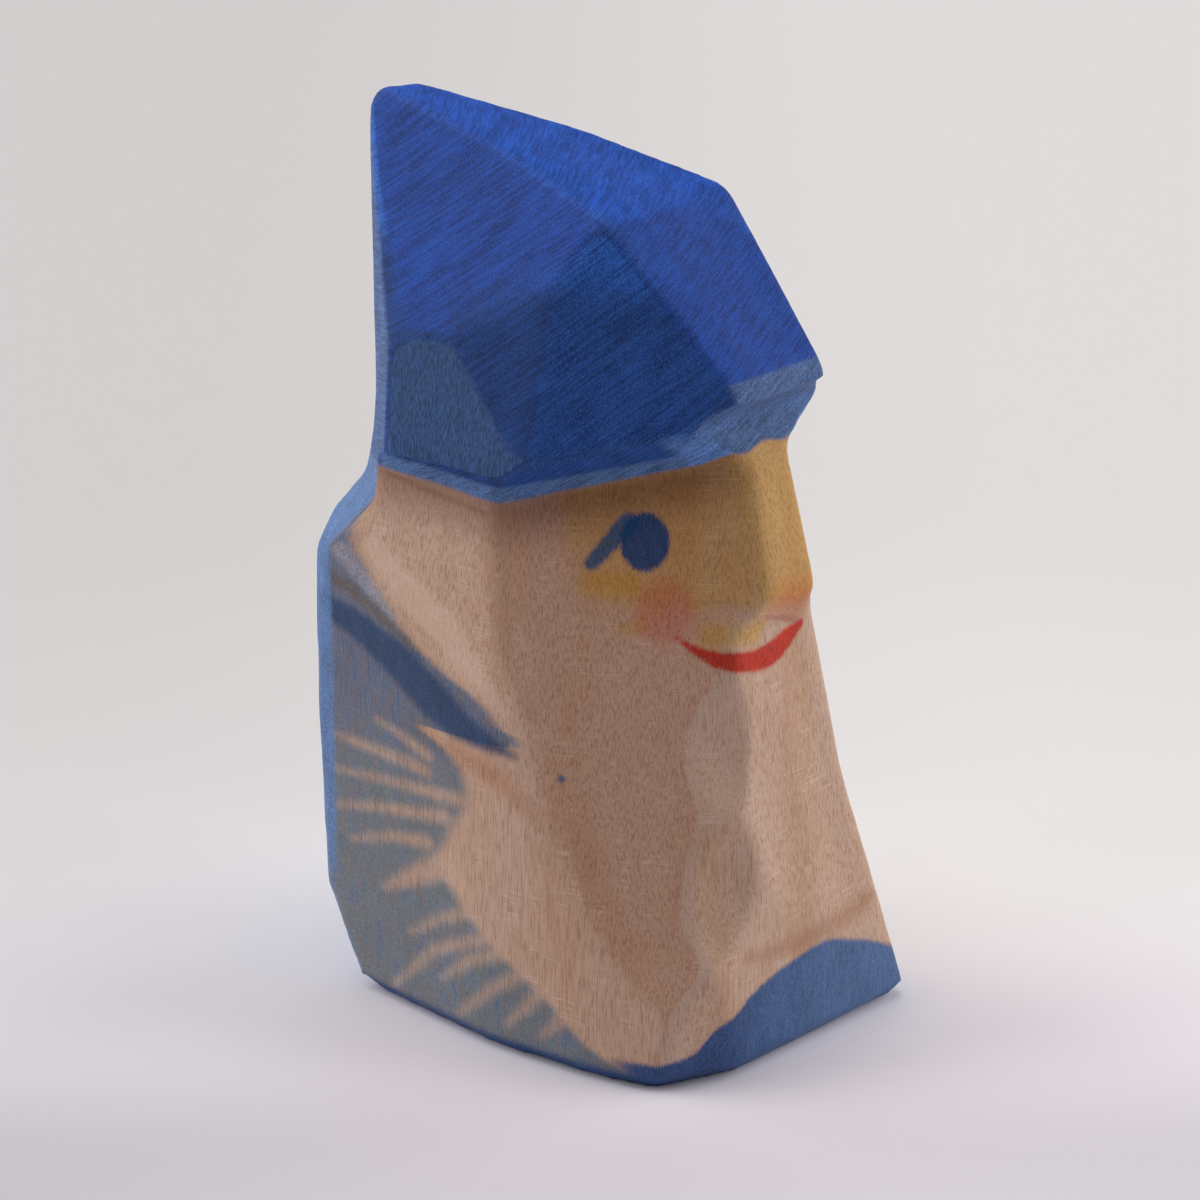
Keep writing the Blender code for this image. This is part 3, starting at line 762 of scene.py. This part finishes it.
carving = {
    "weld": 0.000005,                 # corners of the block this near to each other are one
    "voxel": 0.00036,
    "edgeRounding": 6,                # blur steps on every edge
    "softRounding": 40,               # blur steps where the edges below run
    "unevenSize": 110.0,              # waves in a metre
    "unevenHeight": 0.00006,
    "unevenMiddle": 0.55,             # the waves' middle, which neither adds nor takes away
    "unevenFrom": (0.0002, 0.0030),   # heights over which the flats turn from true to uneven
    "wearSteps": 10,
    "seed": 7.0,
}

# edges that sanding has worn into curves: both ends and the reach, in millimetres, on the
# gnome's left and mirrored for its right
wornEdges = [
    ((12.0, 2.4, 38.4), (13.95, -2.4, 21.0), 2.2),
    ((13.9, -3.0, 20.0), (13.6, -7.6, 2.5), 1.1),
]
# the rim of the standing face, worn a little all round, with the corners that only one side has
rimRuns = [
    [(0.0, 15.5), (12.45, 15.5), (14.2, 2.2), (14.2, 0.5), (13.62, -7.74), (12.4, -12.3),
     (5.72, -15.0), (0.0, -15.0)],
    [(13.62, -7.74), (13.17, -14.27)],
    [(12.72, -15.0), (5.72, -15.0)],
]
rimReach = 0.6
wearEnds = 1.6                        # the wear has faded out this many reaches away
for run in rimRuns:
    wornEdges += [((*start, 0.0), (*end, 0.0), rimReach) for start, end in zip(run, run[1:])]


def softnessAt(place):
    point = Vector((abs(place.x), place.y, place.z)) * perMetre
    softest = 0.0
    for start, end, reach in wornEdges:
        start, end = Vector(start), Vector(end)
        along = (point - start).dot(end - start) / (end - start).length_squared
        nearest = start.lerp(end, max(0.0, min(1.0, along)))
        softest = max(softest, 1.0 - (point - nearest).length / (reach * wearEnds))
    return softest


def carvedSurfaceTree(values):
    tree = bpy.data.node_groups.new("carvedSurface", "GeometryNodeTree")
    tree.is_modifier = True
    for name, kind in (("Geometry", "Geometry"), ("Edge Rounding", "Int"),
                       ("Soft Rounding", "Int"), ("Uneven Size", "Float"),
                       ("Uneven Height", "Float"), ("Wear Steps", "Int"), ("Seed", "Float"),
                       ("Finish", "Material")):
        tree.interface.new_socket(name, in_out="INPUT", socket_type="NodeSocket" + kind)
    tree.interface.new_socket("Geometry", in_out="OUTPUT", socket_type="NodeSocketGeometry")
    given = tree.nodes.new("NodeGroupInput").outputs
    result = tree.nodes.new("NodeGroupOutput")

    def blurred(steps, weight=None):
        node = tree.nodes.new("GeometryNodeBlurAttribute")
        node.data_type = "FLOAT_VECTOR"
        position = tree.nodes.new("GeometryNodeInputPosition").outputs[0]
        tree.links.new(position, node.inputs["Value"])
        tree.links.new(steps, node.inputs["Iterations"])
        if weight is not None:
            tree.links.new(weight, node.inputs["Weight"])
        return node.outputs["Value"]

    def moved(geometry, position=None, offset=None):
        node = tree.nodes.new("GeometryNodeSetPosition")
        tree.links.new(geometry, node.inputs["Geometry"])
        feed(tree, node.inputs["Position"], position)
        feed(tree, node.inputs["Offset"], offset)
        return node.outputs["Geometry"]

    def keep(geometry, name, value):
        node = tree.nodes.new("GeometryNodeStoreNamedAttribute")
        node.data_type = "FLOAT"
        node.inputs["Name"].default_value = name
        tree.links.new(geometry, node.inputs["Geometry"])
        tree.links.new(value, node.inputs["Value"])
        return node.outputs[0]

    geometry = moved(given["Geometry"], blurred(given["Edge Rounding"]))
    softness = tree.nodes.new("GeometryNodeInputNamedAttribute")
    softness.data_type = "FLOAT"
    softness.inputs["Name"].default_value = "softness"
    geometry = moved(geometry, blurred(given["Soft Rounding"], softness.outputs["Attribute"]))

    # uneven flats, left true at the standing face
    position = tree.nodes.new("GeometryNodeInputPosition").outputs[0]
    normal = tree.nodes.new("GeometryNodeInputNormal").outputs[0]
    waves = tree.nodes.new("ShaderNodeTexNoise")
    waves.noise_dimensions = "4D"
    waves.inputs["Detail"].default_value = 1.0
    tree.links.new(position, waves.inputs["Vector"])
    tree.links.new(given["Seed"], waves.inputs["W"])
    tree.links.new(given["Uneven Size"], waves.inputs["Scale"])
    offBase = ramp(tree, split(tree, position)[2], *values["unevenFrom"])
    swell = calc(tree, "SUBTRACT", waves.outputs[0], values["unevenMiddle"])
    lift = calc(tree, "MULTIPLY", calc(tree, "MULTIPLY", swell, given["Uneven Height"]), 2.0)
    lift = calc(tree, "MULTIPLY", lift, offBase)
    geometry = moved(geometry, offset=vector(tree, "SCALE", normal, scale=lift))

    # how far each place stands out from its surroundings, for the wear in the stain
    standsOut = vector(tree, "SUBTRACT", position, blurred(given["Wear Steps"]))
    standsOut = vector(tree, "DOT_PRODUCT", standsOut, normal)
    geometry = keep(geometry, "edgeWear", calc(tree, "MULTIPLY", standsOut, perMetre))

    # the brush marks, as distances that the stain follows
    place = vector(tree, "SCALE", position, scale=perMetre)
    x, y, z, width, across = photoPlaces(tree, place)
    layouts = {"front": place, "bothSides": join(tree, width, y, z),
               "side": join(tree, across, z, 0.0)}
    group = brushStrokeGroup()
    for name, (layout, *soft, paths) in brushMarks.items():
        geometry = keep(geometry, name, outsideOf(tree, group, layouts[layout], paths))

    smooth = tree.nodes.new("GeometryNodeSetShadeSmooth")
    tree.links.new(geometry, smooth.inputs["Geometry"])
    finish = tree.nodes.new("GeometryNodeSetMaterial")
    tree.links.new(smooth.outputs[0], finish.inputs["Geometry"])
    tree.links.new(given["Finish"], finish.inputs["Material"])
    realize = tree.nodes.new("GeometryNodeRealizeInstances")
    tree.links.new(finish.outputs[0], realize.inputs["Geometry"])
    tree.links.new(realize.outputs[0], result.inputs["Geometry"])
    return tree


def plainMesh(obj):
    # the modifiers' result as an ordinary mesh, with the modifiers gone
    graph = bpy.context.evaluated_depsgraph_get()
    mesh = bpy.data.meshes.new_from_object(obj.evaluated_get(graph), depsgraph=graph,
                                           preserve_all_data_layers=True)
    obj.modifiers.clear()
    obj.data = mesh
    return mesh


def carvedGnome(values, finish):
    mesh = bpy.data.meshes.new("carvedGnome")
    bm = bmesh.new()
    bm.from_mesh(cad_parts["carved_figure"].data)
    bmesh.ops.remove_doubles(bm, verts=bm.verts, dist=values["weld"])
    bm.to_mesh(mesh)
    bm.free()
    gnome = bpy.data.objects.new("carvedGnome", mesh)
    bpy.context.scene.collection.objects.link(gnome)

    remesh = gnome.modifiers.new("evenFaces", "REMESH")
    remesh.mode = "VOXEL"
    remesh.voxel_size = values["voxel"]
    mesh = plainMesh(gnome)
    softness = mesh.attributes.new("softness", "FLOAT", "POINT")
    softness.data.foreach_set("value", [softnessAt(vertex.co) for vertex in mesh.vertices])

    tree = carvedSurfaceTree(values)
    surface = gnome.modifiers.new("carvedSurface", "NODES")
    surface.node_group = tree
    settings = {
        "Edge Rounding": values["edgeRounding"], "Soft Rounding": values["softRounding"],
        "Uneven Size": values["unevenSize"], "Uneven Height": values["unevenHeight"],
        "Wear Steps": values["wearSteps"], "Seed": values["seed"], "Finish": finish,
    }
    for item in tree.interface.items_tree:
        if item.in_out == "INPUT" and item.name in settings:
            surface[item.identifier] = settings[item.name]
    mesh = plainMesh(gnome)
    mesh.materials.clear()
    mesh.materials.append(finish)
    print("carved gnome:", len(mesh.polygons), "faces")
    return gnome


# ---------- the table

tableTop = {
    "reach": 3.0,
    # painted light: lavender near the camera, warmer far away
    "near": stain(232, 226, 234),
    "far": stain(232, 229, 228),
    "nearToFar": (-25.0, 30.0),       # millimetres away from the camera
    # painted light on the table: how the light falls off, as (millimetres away from the camera,
    # brightness)
    "fallOff": {
        "from": (-40.0, 120.0), "to": (0.7, 1.3),
        "points": [(-40.0, 0.82), (-29.0, 0.845), (-1.4, 1.16), (17.0, 1.07), (37.0, 0.94),
                   (85.0, 0.90), (120.0, 0.87)],
    },
    # painted light from left to right: two places in millimetres, and the brightness at each
    "leftToRight": (-45.0, 40.0, 0.92, 1.06),
    # metres round the figure over which the fall-off turns to an even light
    "evenFrom": (0.060, 0.130),
    "evenLight": 0.86,
    "roughness": 0.9,
    "shine": 0.1,
}


def layTable(values):
    reach = values["reach"]
    corners = [(-reach, -reach, 0), (reach, -reach, 0), (reach, reach, 0), (-reach, reach, 0)]
    mesh = bpy.data.meshes.new("tableTop")
    mesh.from_pydata(corners, [], [(0, 1, 2, 3)])
    table = bpy.data.objects.new("tableTop", mesh)
    bpy.context.scene.collection.objects.link(table)
    material = bpy.data.materials.new("paleTable")
    material.use_nodes = True
    tree = material.node_tree
    place = tree.nodes.new("ShaderNodeTexCoord").outputs["Object"]
    back, right = (vector(tree, "DOT_PRODUCT", place, (x * perMetre, y * perMetre, 0.0))
                   for x, y in (awayFromCamera, towardsRight))
    # painted light and shade on the table: brightest at the figure's depth, darker towards the
    # camera and far off, even farther out round the figure, and brighter to the right
    fallOff = edgeCurve(tree, back, values["fallOff"])
    reachOut = ramp(tree, vector(tree, "LENGTH", place), *values["evenFrom"])
    light = calc(tree, "MULTIPLY_ADD", calc(tree, "SUBTRACT", values["evenLight"], fallOff),
                 reachOut, fallOff)
    light = calc(tree, "MULTIPLY", light, ramp(tree, right, *values["leftToRight"]))
    colour = mixColour(tree, ramp(tree, back, *values["nearToFar"]), values["near"],
                       values["far"])
    shader = tree.nodes["Principled BSDF"]
    tree.links.new(dimmed(tree, colour, light), shader.inputs["Base Color"])
    shader.inputs["Roughness"].default_value = values["roughness"]
    shader.inputs["Specular IOR Level"].default_value = values["shine"]
    mesh.materials.append(material)


placeCamera(photoView)
hangLights(studio)
layTable(tableTop)
print("table, lights and camera set")

maple = stainedMaple()
print("stained maple mixed:", len(maple.node_tree.nodes), "nodes")
gnome = carvedGnome(carving, maple)
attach(gnome, "root")
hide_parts("carved_figure")
